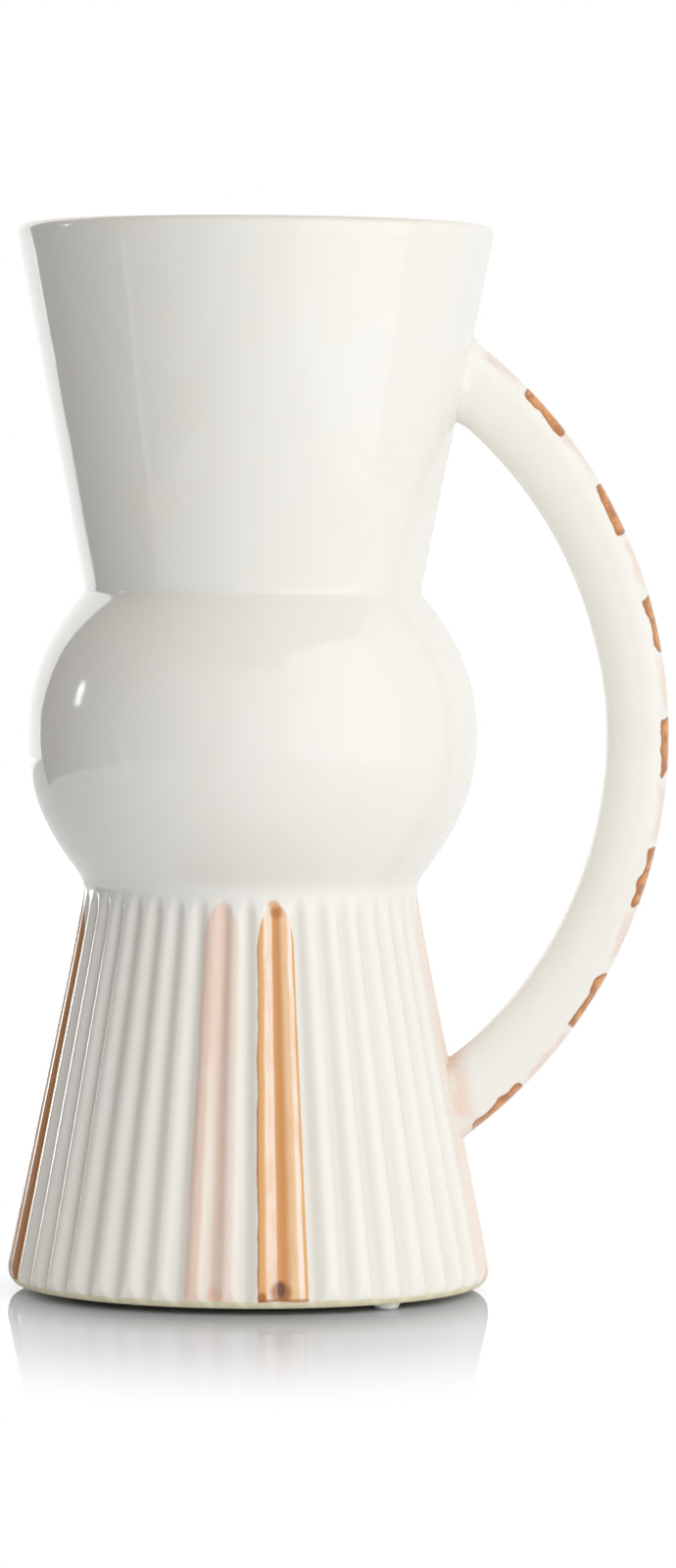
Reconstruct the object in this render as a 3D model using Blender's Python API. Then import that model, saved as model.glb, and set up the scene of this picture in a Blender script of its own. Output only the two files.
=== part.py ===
"""Glazed earthenware vase: a flared neck on a round bulb on a fluted skirt, with one arc handle.

Units are metres, +Z is up and the vase stands on the plane z = 0. Its front is towards -Y and its
handle towards +X. The clay sections are turned or swept one by one and joined with a thin line of
slip, and three small pads under the foot ring carry the whole.
"""
import math

import bmesh
import bpy
from mathutils import Vector

# Turned body: heights of the sections, and outer radii where they meet
SKIRT_HEIGHT = 0.1149
NECK_HEIGHT = 0.1039
FOOT_RADIUS = 0.0696
WAIST_RADIUS = 0.0464
BULB_RADIUS = 0.0644
BULB_HALF_HEIGHT = 0.0600
THROAT_RADIUS = 0.0480
LIP_RADIUS = 0.0687

# Walls, and the roundings of the outer outline
SKIRT_WALL = 0.0058
BULB_WALL = 0.0048
NECK_WALL = 0.0050
WAIST_ROUNDING = 0.0037
THROAT_ROUNDING = 0.0008
LIP_ROUNDING = 0.0032
FOOT_ROUNDING = 0.0045

# Flutes: grooves side by side in an even wave, with a rounded ridge between each two
FLUTES = 44
FLUTE_DEPTH = 0.0025
FLUTE_START = 0.0024
FLUTE_RUN_IN = 0.0070

# Foot ring, and the slab that closes the skirt inside it
FOOT_RING_WIDTH = 0.0090
SLAB_RECESS = 0.0030
SLAB_THICKNESS = 0.0050

# Handle: its reach from the vase's axis, its section, and the edges of its two seats
HANDLE_REACH = 0.1186
HANDLE_THICKNESS = 0.0184
HANDLE_WIDTH = 0.0190
HANDLE_NECK_TOP = 0.0318
HANDLE_NECK_SEAT = 0.0232
HANDLE_SKIRT_BOTTOM = 0.0418
HANDLE_SKIRT_SEAT = 0.0228
HANDLE_ROOT_DEPTH = 0.0080

# Squareness of the handle's section, as powers: 1 is a plain ellipse, and less is squarer
HANDLE_FACE_POWER = 0.62
HANDLE_PALM_POWER = 0.92
HANDLE_SIDE_POWER = 0.80

# Pads stuck under the foot ring
PADS = 3
PAD_RADIUS = 0.0040
PAD_THICKNESS = 0.0016
PAD_FACE_RADIUS = 0.0022
PAD_SHOULDER = 0.0006
FIRST_PAD_TURN = math.radians(40.0)

# Thickness of the slip or glue line between two pieces
JOINT_GAP = 0.0003

# Facets
STEPS_PER_FLUTE = 4
BODY_STEPS = 2 * FLUTES
SKIRT_STEPS = STEPS_PER_FLUTE * FLUTES
BULB_OUTER_RINGS = 14
BULB_INNER_RINGS = 8
LIP_OUTER_TURNS = (0.0, 25.0, 50.0, 70.0)
LIP_INNER_TURNS = (0.0, 35.0, 65.0)
THROAT_RINGS = (0.0, 0.5, 1.5, 4.0)
FOOT_RINGS = (0.0, 0.08, 0.3, 0.6, 1.0)
RUN_IN_RINGS = (1.0, 0.6, 0.32, 0.14, 0.0)
HANDLE_STATIONS = 26
HANDLE_SECTION_STEPS = 20
PAD_STEPS = 16

GLAZE_COLOUR = (0.91, 0.89, 0.84)
BISQUE_COLOUR = (0.62, 0.60, 0.48)
PAD_COLOUR = (0.90, 0.91, 0.90)


def half_chord(radius, half_height, at_radius):
    """Height above its centre at which an upright ellipse has the given radius."""
    return half_height * math.sqrt(1.0 - (at_radius / radius) ** 2)


BULB_CENTRE = SKIRT_HEIGHT + half_chord(BULB_RADIUS, BULB_HALF_HEIGHT, WAIST_RADIUS)
THROAT_HEIGHT = BULB_CENTRE + half_chord(BULB_RADIUS, BULB_HALF_HEIGHT, THROAT_RADIUS)
LIP_HEIGHT = THROAT_HEIGHT + NECK_HEIGHT
SKIRT_TAPER = (FOOT_RADIUS - WAIST_RADIUS) / SKIRT_HEIGHT
NECK_FLARE = (LIP_RADIUS - THROAT_RADIUS) / NECK_HEIGHT


def soft_max(a, b, rounding):
    """The larger of two radii, with the corner where they cross filled to a soft hollow."""
    return (a + b + math.hypot(a - b, rounding)) / 2.0


def ellipse_radius(z, radius, half_height):
    return radius * math.sqrt(max(0.0, 1.0 - ((z - BULB_CENTRE) / half_height) ** 2))


def skirt_line(z):
    return FOOT_RADIUS - SKIRT_TAPER * z


def neck_line(z):
    return THROAT_RADIUS + NECK_FLARE * (z - THROAT_HEIGHT)


def outer_radius(z):
    """Outer outline of the body, before the flutes, the lip and the foot are rounded or cut."""
    bulb = ellipse_radius(z, BULB_RADIUS, BULB_HALF_HEIGHT)
    if z < BULB_CENTRE:
        return soft_max(skirt_line(z), bulb, WAIST_ROUNDING)
    return soft_max(neck_line(z), bulb, THROAT_ROUNDING)


def inner_radius(z):
    """Inner outline, one wall thickness inside the outer one, measured square to the wall."""
    bulb = ellipse_radius(z, BULB_RADIUS - BULB_WALL, BULB_HALF_HEIGHT - BULB_WALL)
    if z < BULB_CENTRE:
        cone = skirt_line(z) - SKIRT_WALL * math.hypot(1.0, SKIRT_TAPER)
        return soft_max(cone, bulb, WAIST_ROUNDING)
    cone = neck_line(z) - NECK_WALL * math.hypot(1.0, NECK_FLARE)
    return soft_max(cone, bulb, THROAT_ROUNDING)


def skirt_radius(z, across):
    """Radius of the fluted skirt at a height, and at a share across a flute from -0.5 to 0.5."""
    wave = (1.0 + math.cos(math.tau * across)) / 2.0
    depth = FLUTE_DEPTH * skirt_line(z) / FOOT_RADIUS
    run_in = (SKIRT_HEIGHT - FLUTE_START - z) / FLUTE_RUN_IN
    left = 1.0 - min(max(run_in, 0.0), 1.0)
    cut = max(0.0, wave - left ** 2)
    below = min(max(1.0 - z / FOOT_ROUNDING, 0.0), 1.0)
    rounding = FOOT_ROUNDING * (1.0 - math.sqrt(1.0 - below ** 2))
    return outer_radius(z) - max(rounding, depth * cut)


def new_object(name, mesh_data, material, parent):
    """Puts a finished bmesh into the scene as one named object with one material."""
    bmesh.ops.recalc_face_normals(mesh_data, faces=mesh_data.faces[:])
    mesh = bpy.data.meshes.new(name)
    mesh_data.to_mesh(mesh)
    mesh_data.free()
    mesh.materials.append(material)
    mesh.shade_smooth()
    mesh.set_sharp_from_angle(angle=math.radians(35.0))
    obj = bpy.data.objects.new(name, mesh)
    bpy.context.scene.collection.objects.link(obj)
    obj.parent = parent
    return obj


def new_material(name, colour, roughness):
    material = bpy.data.materials.new(name)
    material.use_nodes = True
    shader = material.node_tree.nodes["Principled BSDF"]
    shader.inputs["Base Color"].default_value = (*colour, 1.0)
    shader.inputs["Roughness"].default_value = roughness
    shader.inputs["Metallic"].default_value = 0.0
    return material


def turned(outline, steps):
    """Spins an outline of (radius, height) points about the Z axis. A radius of 0 closes it there."""
    mesh_data = bmesh.new()
    points = [mesh_data.verts.new((0.0, -radius, height)) for radius, height in outline]
    edges = [mesh_data.edges.new(pair) for pair in zip(points, points[1:])]
    if outline[0][0] > 0.0:
        edges.append(mesh_data.edges.new((points[-1], points[0])))
    bmesh.ops.spin(
        mesh_data, geom=points + edges, cent=(0.0, 0.0, 0.0), axis=(0.0, 0.0, 1.0),
        angle=math.tau, steps=steps, use_merge=True)
    bmesh.ops.remove_doubles(mesh_data, verts=mesh_data.verts[:], dist=1e-6)
    return mesh_data


def arc_through(upper, lower, reach):
    """Centre and radius of the arc through two (x, z) points that reaches out to x = reach."""
    def offset(height):
        sides = [
            x / 2.0 - (height - z) ** 2 / (2.0 * (reach - x)) for x, z in (upper, lower)]
        return sides[0] - sides[1]

    low, high = lower[1], upper[1]
    for _ in range(60):
        middle = (low + high) / 2.0
        low, high = (low, middle) if offset(middle) > 0.0 else (middle, high)
    x, z = upper
    centre_x = (x + reach) / 2.0 - (low - z) ** 2 / (2.0 * (reach - x))
    return Vector((centre_x, 0.0, low)), reach - centre_x


def lip_arc(rounding, turns):
    """Points of a quarter round at the lip, as (inset from the wall, depth below the lip)."""
    turns = [math.radians(turn) for turn in turns]
    return [(rounding * (1.0 - math.cos(t)), rounding * (1.0 - math.sin(t))) for t in turns]


def flared_neck(material, parent):
    """Cone that opens upwards, with a full round lip that leans a little to the outside."""
    lip_inner = LIP_RADIUS - NECK_WALL * math.hypot(1.0, NECK_FLARE)
    outer_round = min(LIP_ROUNDING, 0.75 * NECK_WALL)
    inner_round = LIP_RADIUS - outer_round - lip_inner
    seam = [THROAT_HEIGHT + THROAT_ROUNDING * share for share in THROAT_RINGS]
    outer = [(outer_radius(z), z) for z in seam]
    outer += [
        (neck_line(LIP_HEIGHT - down) - inset, LIP_HEIGHT - down)
        for inset, down in lip_arc(outer_round, LIP_OUTER_TURNS)]
    outer.append((LIP_RADIUS - outer_round, LIP_HEIGHT))
    inner = [(inner_radius(z), z) for z in seam]
    inner += [
        (lip_inner - NECK_FLARE * down + inset, LIP_HEIGHT - down)
        for inset, down in lip_arc(inner_round, LIP_INNER_TURNS)]
    outline = outer + inner[::-1]
    return new_object("flared_neck", turned(outline, BODY_STEPS), material, parent)


def bulb(material, parent):
    """Slightly flattened ball, open to the skirt below and to the neck above."""
    bottom = SKIRT_HEIGHT
    top = THROAT_HEIGHT - JOINT_GAP

    def outline_of(radius_at, half_height, rings):
        first = math.asin(max(-1.0, (bottom - BULB_CENTRE) / half_height))
        last = math.asin(min(1.0, (top - BULB_CENTRE) / half_height))
        turns = [first + (last - first) * i / rings for i in range(1, rings)]
        heights = [BULB_CENTRE + half_height * math.sin(turn) for turn in turns]
        return [(radius_at(z), z) for z in [bottom, *heights, top]]

    outer = outline_of(outer_radius, BULB_HALF_HEIGHT, BULB_OUTER_RINGS)
    inner = outline_of(inner_radius, BULB_HALF_HEIGHT - BULB_WALL, BULB_INNER_RINGS)
    return new_object("bulb", turned(outer + inner[::-1], BODY_STEPS), material, parent)


def fluted_heights():
    """Heights of the skirt's outer rings, closer where the flutes begin and at the foot."""
    foot = [FOOT_ROUNDING * share for share in FOOT_RINGS]
    start = SKIRT_HEIGHT - FLUTE_START
    run_in = [start - FLUTE_RUN_IN * share for share in RUN_IN_RINGS]
    return foot + run_in + [start + FLUTE_START / 2.0, SKIRT_HEIGHT - JOINT_GAP]


def foot_inner_radius():
    return FOOT_RADIUS - FOOT_ROUNDING - FOOT_RING_WIDTH


def fluted_skirt(material, parent):
    """Cone with flutes carved into its outer face, and a ledge inside for the slab."""
    heights = fluted_heights()
    outer = [(skirt_radius(z, 0.5), z) for z in heights]
    top = heights[-1]
    waist_inner = [(inner_radius(z), z) for z in (top, SKIRT_HEIGHT - 3.0 * WAIST_ROUNDING)]
    ledge = [(inner_radius(SLAB_RECESS), SLAB_RECESS), (foot_inner_radius(), SLAB_RECESS)]
    outline = outer + waist_inner + ledge + [(foot_inner_radius(), 0.0)]
    mesh_data = turned(outline, SKIRT_STEPS)
    for vert in mesh_data.verts:
        radius = math.hypot(vert.co.x, vert.co.y)
        height = vert.co.z
        if radius < (inner_radius(height) + skirt_radius(height, 0.5)) / 2.0:
            continue
        turn = math.atan2(vert.co.x, -vert.co.y) / math.tau * FLUTES
        across = turn - round(turn)
        scale = skirt_radius(height, across) / radius
        vert.co.x *= scale
        vert.co.y *= scale
    return new_object("fluted_skirt", mesh_data, material, parent)


def base_slab(material, parent):
    """Round slab let into the skirt from above, its edge following the skirt's inner wall."""
    low = SLAB_RECESS + JOINT_GAP
    high = low + SLAB_THICKNESS
    outline = [(0.0, low)]
    outline += [(inner_radius(z) - JOINT_GAP, z) for z in (low, high)]
    outline.append((0.0, high))
    return new_object("base_slab", turned(outline, BODY_STEPS), material, parent)


def handle_section(thickness, steps):
    """Closed section as (outwards, sideways) points: half round inside, flatter outside."""
    points = []
    for i in range(steps):
        turn = math.tau * i / steps
        outwards, sideways = math.cos(turn), math.sin(turn)
        power = HANDLE_FACE_POWER if outwards > 0.0 else HANDLE_PALM_POWER
        points.append((
            thickness / 2.0 * math.copysign(abs(outwards) ** power, outwards),
            HANDLE_WIDTH / 2.0 * math.copysign(abs(sideways) ** HANDLE_SIDE_POWER, sideways)))
    return points


def handle_arcs():
    """Outer and inner arc of the handle, each as its centre and radius."""
    neck_top = LIP_HEIGHT - HANDLE_NECK_TOP
    neck_bottom = neck_top - HANDLE_NECK_SEAT
    skirt_bottom = HANDLE_SKIRT_BOTTOM
    skirt_top = skirt_bottom + HANDLE_SKIRT_SEAT
    outer = arc_through(
        (neck_line(neck_top), neck_top), (skirt_line(skirt_bottom), skirt_bottom), HANDLE_REACH)
    inner = arc_through(
        (neck_line(neck_bottom), neck_bottom), (skirt_line(skirt_top), skirt_top),
        HANDLE_REACH - HANDLE_THICKNESS)
    return outer, inner


def handle_blank():
    """The arc with both ends run on into the walls, before it is fitted to them."""
    (outer_centre, outer_r), (inner_centre, inner_r) = handle_arcs()
    neck_top = LIP_HEIGHT - HANDLE_NECK_TOP
    root = HANDLE_ROOT_DEPTH / outer_r
    first = math.asin((neck_top - outer_centre.z) / outer_r) + root
    last = math.asin((HANDLE_SKIRT_BOTTOM - outer_centre.z) / outer_r) - root
    mesh_data = bmesh.new()
    ring = None
    shift = outer_centre - inner_centre
    for station in range(HANDLE_STATIONS + 1):
        turn = first + (last - first) * station / HANDLE_STATIONS
        outwards = Vector((math.cos(turn), 0.0, math.sin(turn)))
        along = outwards.dot(shift)
        reach_in = -along + math.sqrt(along ** 2 - shift.length_squared + inner_r ** 2)
        middle = outer_centre + outwards * (outer_r + reach_in) / 2.0
        section = handle_section(outer_r - reach_in, HANDLE_SECTION_STEPS)
        verts = [
            mesh_data.verts.new(middle + outwards * out + Vector((0.0, side, 0.0)))
            for out, side in section]
        edges = [
            mesh_data.edges.new((verts[i - 1], verts[i])) for i in range(len(verts))]
        if ring is None:
            mesh_data.faces.new(verts)
        else:
            bmesh.ops.bridge_loops(mesh_data, edges=ring + edges)
        ring = edges
    mesh_data.faces.new(verts)
    return mesh_data


def seat_cutter(name, heights, radius_at, steps, parent):
    """Closed solid one joint gap larger than the wall that a handle's root is fitted to."""
    outline = [(0.0, heights[0])]
    outline += [(radius_at(z), z) for z in heights] + [(0.0, heights[-1])]
    mesh_data = turned(outline, steps)
    bmesh.ops.recalc_face_normals(mesh_data, faces=mesh_data.faces[:])
    mesh = bpy.data.meshes.new(name)
    mesh_data.to_mesh(mesh)
    mesh_data.free()
    cutter = bpy.data.objects.new(name, mesh)
    bpy.context.scene.collection.objects.link(cutter)
    cutter.parent = parent
    cutter.hide_render = True
    cutter.display_type = "WIRE"
    return cutter


def neck_cutter(parent):
    clearance = JOINT_GAP * math.hypot(1.0, NECK_FLARE)
    heights = (THROAT_HEIGHT, LIP_HEIGHT)
    return seat_cutter(
        "neck_seat", heights, lambda z: neck_line(z) + clearance, BODY_STEPS, parent)


def skirt_cutter(parent):
    clearance = JOINT_GAP * math.hypot(1.0, SKIRT_TAPER)
    heights = (FOOT_ROUNDING, HANDLE_SKIRT_BOTTOM + 2.0 * HANDLE_SKIRT_SEAT)
    cutter = seat_cutter(
        "skirt_seat", heights, lambda z: skirt_line(z) + clearance, SKIRT_STEPS, parent)
    for vert in cutter.data.vertices:
        radius = math.hypot(vert.co.x, vert.co.y)
        if radius < FOOT_ROUNDING:
            continue
        turn = math.atan2(vert.co.x, -vert.co.y) / math.tau * FLUTES
        scale = (skirt_radius(vert.co.z, turn - round(turn)) + clearance) / radius
        vert.co.x *= scale
        vert.co.y *= scale
    return cutter


def handle(material, parent):
    """Thick arc whose upper root is hollowed to the neck's cone and lower root to the flutes."""
    obj = new_object("handle", handle_blank(), material, parent)
    for cutter in (neck_cutter(parent), skirt_cutter(parent)):
        cut = obj.modifiers.new(cutter.name, "BOOLEAN")
        cut.operation = "DIFFERENCE"
        cut.object = cutter
    return obj


def foot_pads(material, parent):
    """Low domed pads, flat where they meet the table, spaced evenly under the foot ring."""
    top = -JOINT_GAP
    bottom = top - PAD_THICKNESS
    shoulder = (PAD_RADIUS - PAD_SHOULDER, (top + bottom) / 2.0)
    outline = [(0.0, bottom), (PAD_FACE_RADIUS, bottom), shoulder, (PAD_RADIUS, top), (0.0, top)]
    ring_radius = foot_inner_radius() + FOOT_RING_WIDTH / 2.0
    for i in range(PADS):
        pad = new_object(f"foot_pad_{i + 1}", turned(outline, PAD_STEPS), material, parent)
        turn = FIRST_PAD_TURN + math.tau * i / PADS
        pad.location = (ring_radius * math.sin(turn), -ring_radius * math.cos(turn), 0.0)


def clear_scene():
    for obj in list(bpy.data.objects):
        bpy.data.objects.remove(obj, do_unlink=True)


def main():
    clear_scene()
    glaze = new_material("ivory_glaze", GLAZE_COLOUR, 0.12)
    bisque = new_material("unglazed_earthenware", BISQUE_COLOUR, 0.85)
    silicone = new_material("clear_silicone", PAD_COLOUR, 0.35)
    axis = bpy.data.objects.new("vase_axis", None)
    bpy.context.scene.collection.objects.link(axis)
    neck = flared_neck(glaze, axis)
    bulb(glaze, axis)
    skirt = fluted_skirt(glaze, axis)
    base_slab(bisque, axis)
    handle(glaze, axis)
    foot_pads(silicone, axis)
    left = min(vert.co.x for obj in (neck, skirt) for vert in obj.data.vertices)
    axis.location = (-(left + HANDLE_REACH) / 2.0, 0.0, JOINT_GAP + PAD_THICKNESS)


main()
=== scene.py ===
"""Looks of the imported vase: glazed and painted earthenware on silicone pads, in a pale studio.

The clay is thrown, fluted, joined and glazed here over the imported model's own places and sizes, and
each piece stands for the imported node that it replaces. Units are metres, +Z is up, the front is
towards -Y and the handle towards +X.
"""

import math

import bmesh
import bpy
from mathutils import Matrix, Vector


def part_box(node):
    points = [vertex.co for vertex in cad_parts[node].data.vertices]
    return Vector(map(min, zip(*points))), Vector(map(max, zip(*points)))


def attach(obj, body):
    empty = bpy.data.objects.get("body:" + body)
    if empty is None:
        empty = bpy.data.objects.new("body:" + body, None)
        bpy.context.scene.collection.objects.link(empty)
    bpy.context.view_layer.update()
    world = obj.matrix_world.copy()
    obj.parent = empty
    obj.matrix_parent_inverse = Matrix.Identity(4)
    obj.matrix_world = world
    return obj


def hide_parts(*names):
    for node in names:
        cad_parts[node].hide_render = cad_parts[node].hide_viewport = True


bl_info = {
    "name": "Fluted Vase Looks",
    "version": (1, 0, 0),
    "blender": (4, 5, 0),
    "location": "3D View > Sidebar > Vase",
    "description": "Throws, flutes, glazes and lights a handled vase over its packed frame",
    "category": "Object",
}

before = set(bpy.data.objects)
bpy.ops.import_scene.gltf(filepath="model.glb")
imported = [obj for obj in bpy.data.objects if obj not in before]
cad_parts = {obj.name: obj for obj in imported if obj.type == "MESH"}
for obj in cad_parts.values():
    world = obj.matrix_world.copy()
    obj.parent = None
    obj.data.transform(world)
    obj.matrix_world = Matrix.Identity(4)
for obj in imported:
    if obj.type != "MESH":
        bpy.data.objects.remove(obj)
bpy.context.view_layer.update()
SLAB_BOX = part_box("base_slab")
SKIRT_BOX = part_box("fluted_skirt")
PAD_BOXES = [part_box(f"foot_pad_{i}") for i in (1, 2, 3)]

# Where the vase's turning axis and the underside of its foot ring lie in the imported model
AXIS_X = (SLAB_BOX[0].x + SLAB_BOX[1].x) / 2.0
FOOT_Z = SKIRT_BOX[0].z

# Outline of the clay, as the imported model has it: heights from the foot ring, radii from the axis
SKIRT_HEIGHT = 0.1149
NECK_HEIGHT = 0.1039
FOOT_RADIUS = 0.0696
WAIST_RADIUS = 0.0464
BULB_RADIUS = 0.0644
BULB_HALF_HEIGHT = 0.0600
THROAT_RADIUS = 0.0480
LIP_RADIUS = 0.0687
SKIRT_WALL = 0.0058
BULB_WALL = 0.0048
NECK_WALL = 0.0050
WAIST_ROUNDING = 0.0037
THROAT_ROUNDING = 0.0008
LIP_ROUNDING = 0.0032
FOOT_ROUNDING = 0.0045
FLUTES = 44
FLUTE_DEPTH = 0.0025
FLUTE_START = 0.0024
FLUTE_RUN_IN = 0.0070
FOOT_RUN_OUT = 0.0066
FOOT_RING_WIDTH = 0.0090
SLAB_RECESS = 0.0030
HANDLE_REACH = 0.1186
HANDLE_THICKNESS = 0.0184
HANDLE_WIDTH = 0.0190
HANDLE_NECK_TOP = 0.0318
HANDLE_NECK_SEAT = 0.0232
HANDLE_SKIRT_BOTTOM = 0.0418
HANDLE_SKIRT_SEAT = 0.0228

BULB_CENTRE = SKIRT_HEIGHT + BULB_HALF_HEIGHT * math.sqrt(1.0 - (WAIST_RADIUS / BULB_RADIUS) ** 2)
THROAT_HEIGHT = BULB_CENTRE + BULB_HALF_HEIGHT * math.sqrt(1.0 - (THROAT_RADIUS / BULB_RADIUS) ** 2)
LIP_HEIGHT = THROAT_HEIGHT + NECK_HEIGHT
SKIRT_TAPER = (FOOT_RADIUS - WAIST_RADIUS) / SKIRT_HEIGHT
NECK_FLARE = (LIP_RADIUS - THROAT_RADIUS) / NECK_HEIGHT
FOOT_INNER_RADIUS = FOOT_RADIUS - FOOT_ROUNDING - FOOT_RING_WIDTH

# Steps round the turned walls; the skirt's are a whole number per flute
TURNED_STEPS = 264
STEPS_PER_FLUTE = 14

# How strongly rows of points crowd towards a joint of the clay
CROWDING = 2.2

# Gloss of the fired glaze
GLAZE_ROUGHNESS = 0.075
GLAZE_IOR = 1.52

WHITE = (1.0, 1.0, 1.0, 1.0)

# Setting of a node that fades from one value to another softly
SMOOTH = {"interpolation_type": "SMOOTHSTEP"}


def linear(code):
    """Linear colour of an sRGB colour written in hex."""
    values = [int(code[i:i + 2], 16) / 255.0 for i in (0, 2, 4)]
    return [v / 12.92 if v <= 0.04045 else ((v + 0.055) / 1.055) ** 2.4 for v in values]


def opaque(code):
    return (*linear(code), 1.0)


def paint_property(name, code, description):
    """A colour that a user can change, with its default written in hex."""
    return bpy.props.FloatVectorProperty(
        name=name, description=description, size=3, subtype="COLOR", min=0.0, max=1.0,
        default=linear(code))


class VASE_PG_clay(bpy.types.PropertyGroup):
    """Sizes that the potter's hand decides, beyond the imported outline."""
    ridge_breadth: bpy.props.FloatProperty(
        name="Ridge breadth", default=1.4, min=1.0, max=2.0,
        description="Power of the flutes' wave: 1 is even, and more gives broader ridges")
    gouge_wander: bpy.props.FloatProperty(
        name="Gouge wander", default=0.035, min=0.0, max=0.2, subtype="FACTOR",
        description="How far a hand-cut flute strays from its even place, as a share of its width")
    slip_fillet: bpy.props.FloatProperty(
        name="Slip fillet", default=0.0009, min=0.0, max=0.004, unit="LENGTH",
        description="How far the slip swells the handle where it meets the wall")
    slip_reach: bpy.props.FloatProperty(
        name="Slip reach", default=0.0032, min=0.0005, max=0.01, unit="LENGTH",
        description="How far from the wall the slip swells the handle")
    glaze_line: bpy.props.FloatProperty(
        name="Glaze line", default=0.0021, min=0.0, max=0.01, unit="LENGTH",
        description="Height above the foot ring at which the glaze is wiped off")


class VASE_PG_colours(bpy.types.PropertyGroup):
    """Colours of the glaze, the paints and the clay."""
    glaze: paint_property("Glaze", "F4F3EE", "Ivory of the glaze over flat clay")
    pooled_glaze: paint_property(
        "Pooled glaze", "E8E5DE", "Deeper ivory where the glaze has run together")
    warm_mottle: paint_property("Warm mottle", "F1ECDB", "Faint yellow clouds in the glaze")
    brown_paint: paint_property("Brown paint", "E6A76A", "Brown underglaze paint")
    # Deep brown also paints shade on the brown stripes away from the front
    deep_brown: paint_property(
        "Deep brown", "B0703F", "Brown paint where the brush left most of it")
    orange: paint_property("Orange", "E6B072", "Brown paint in a thin, warm coat")
    tan: paint_property("Tan", "F4CCA0", "Brown paint in a very thin coat")
    peach: paint_property("Peach", "FCEADA", "Brown paint worn off a ridge")
    pink_paint: paint_property("Pink paint", "F0D2C2", "Pale pink underglaze paint")
    dusty_pink: paint_property("Dusty pink", "EDD5C6", "Pink paint mixed with glaze in a groove")
    faint_pink: paint_property("Faint pink", "F5E3D7", "Pink paint worn off a ridge")
    bare_clay: paint_property("Bare clay", "E6E2C8", "Fired clay without glaze")
    silicone: paint_property("Silicone", "FAFBFA", "Milky silicone of the pads")


def clay():
    return bpy.context.scene.vase_clay


def colour(name):
    return (*getattr(bpy.context.scene.vase_colours, name), 1.0)


# Outline of the clay


def soft_max(a, b, rounding):
    """The larger of two radii, with the corner where they cross filled to a soft hollow."""
    return (a + b + math.hypot(a - b, rounding)) / 2.0


def ellipse_radius(z, radius, half_height):
    return radius * math.sqrt(max(0.0, 1.0 - ((z - BULB_CENTRE) / half_height) ** 2))


def skirt_line(z):
    return FOOT_RADIUS - SKIRT_TAPER * z


def neck_line(z):
    return THROAT_RADIUS + NECK_FLARE * (z - THROAT_HEIGHT)


def outer_radius(z):
    bulb = ellipse_radius(z, BULB_RADIUS, BULB_HALF_HEIGHT)
    if z < BULB_CENTRE:
        return soft_max(skirt_line(z), bulb, WAIST_ROUNDING)
    return soft_max(neck_line(z), bulb, THROAT_ROUNDING)


def inner_radius(z):
    bulb = ellipse_radius(z, BULB_RADIUS - BULB_WALL, BULB_HALF_HEIGHT - BULB_WALL)
    if z < BULB_CENTRE:
        cone = skirt_line(z) - SKIRT_WALL * math.hypot(1.0, SKIRT_TAPER)
        return soft_max(cone, bulb, WAIST_ROUNDING)
    cone = neck_line(z) - NECK_WALL * math.hypot(1.0, NECK_FLARE)
    return soft_max(cone, bulb, THROAT_ROUNDING)


def foot_rounding(z):
    """How far the foot's rounded corner, which the glaze draws out upwards, takes the wall in."""
    below = min(max(1.0 - z / FOOT_RUN_OUT, 0.0), 1.0)
    return FOOT_ROUNDING * (1.0 - math.sqrt(1.0 - below ** 2))


def spread(low, high, count, power=1.0):
    """Values from low to high, both included, crowded towards low where power is over 1."""
    return [low + (high - low) * (i / count) ** power for i in range(count + 1)]


# Modelling steps


def start_piece(name):
    """Names the primitive that was just added and opens it for editing."""
    obj = bpy.context.active_object
    obj.name = name
    obj.data.name = name
    bpy.ops.object.mode_set(mode="EDIT")
    return obj


def throw(name, outline, steps):
    """Throws a turned wall: a ring of clay is set down, drawn to each next (radius, height) and
    closed on itself."""
    bpy.ops.object.select_all(action="DESELECT")
    radius, height = outline[0]
    bpy.ops.mesh.primitive_circle_add(
        vertices=steps, radius=radius, fill_type="NOTHING",
        location=(AXIS_X, 0.0, FOOT_Z + height))
    obj = start_piece(name)
    bpy.ops.mesh.select_all(action="SELECT")
    for next_radius, next_height in outline[1:]:
        bpy.ops.mesh.extrude_region_move(
            TRANSFORM_OT_translate={"value": (0.0, 0.0, next_height - height)})
        change = next_radius / radius
        bpy.ops.transform.resize(
            value=(change, change, 1.0), center_override=(AXIS_X, 0.0, FOOT_Z + next_height))
        radius, height = next_radius, next_height
    bpy.ops.mesh.select_all(action="DESELECT")
    bpy.ops.mesh.select_non_manifold()
    bpy.ops.mesh.bridge_edge_loops()
    return obj


def select_where(obj, parts, test):
    """Selects those faces or edges of an open piece that pass a test, and nothing else."""
    bpy.ops.mesh.select_all(action="DESELECT")
    shell = bmesh.from_edit_mesh(obj.data)
    for part in getattr(shell, parts):
        part.select_set(test(part))
    bmesh.update_edit_mesh(obj.data)


def finish_piece(obj, material, node, angle=40.0):
    """Closes a piece: normals out, smooth shading, place in the mesh, rider of the vase's body."""
    if obj.mode != "EDIT":
        bpy.ops.object.mode_set(mode="EDIT")
    bpy.ops.mesh.select_all(action="SELECT")
    bpy.ops.mesh.remove_doubles(threshold=1e-6)
    bpy.ops.mesh.normals_make_consistent(inside=False)
    bpy.ops.object.mode_set(mode="OBJECT")
    bpy.ops.object.select_all(action="DESELECT")
    obj.select_set(True)
    bpy.context.view_layer.objects.active = obj
    bpy.ops.object.transform_apply(location=True, rotation=True, scale=True)
    bpy.ops.object.shade_smooth_by_angle(angle=math.radians(angle))
    obj.data.materials.clear()
    obj.data.materials.append(material)
    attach(obj, "root")
    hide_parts(node)
    return obj


# Materials


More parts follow.
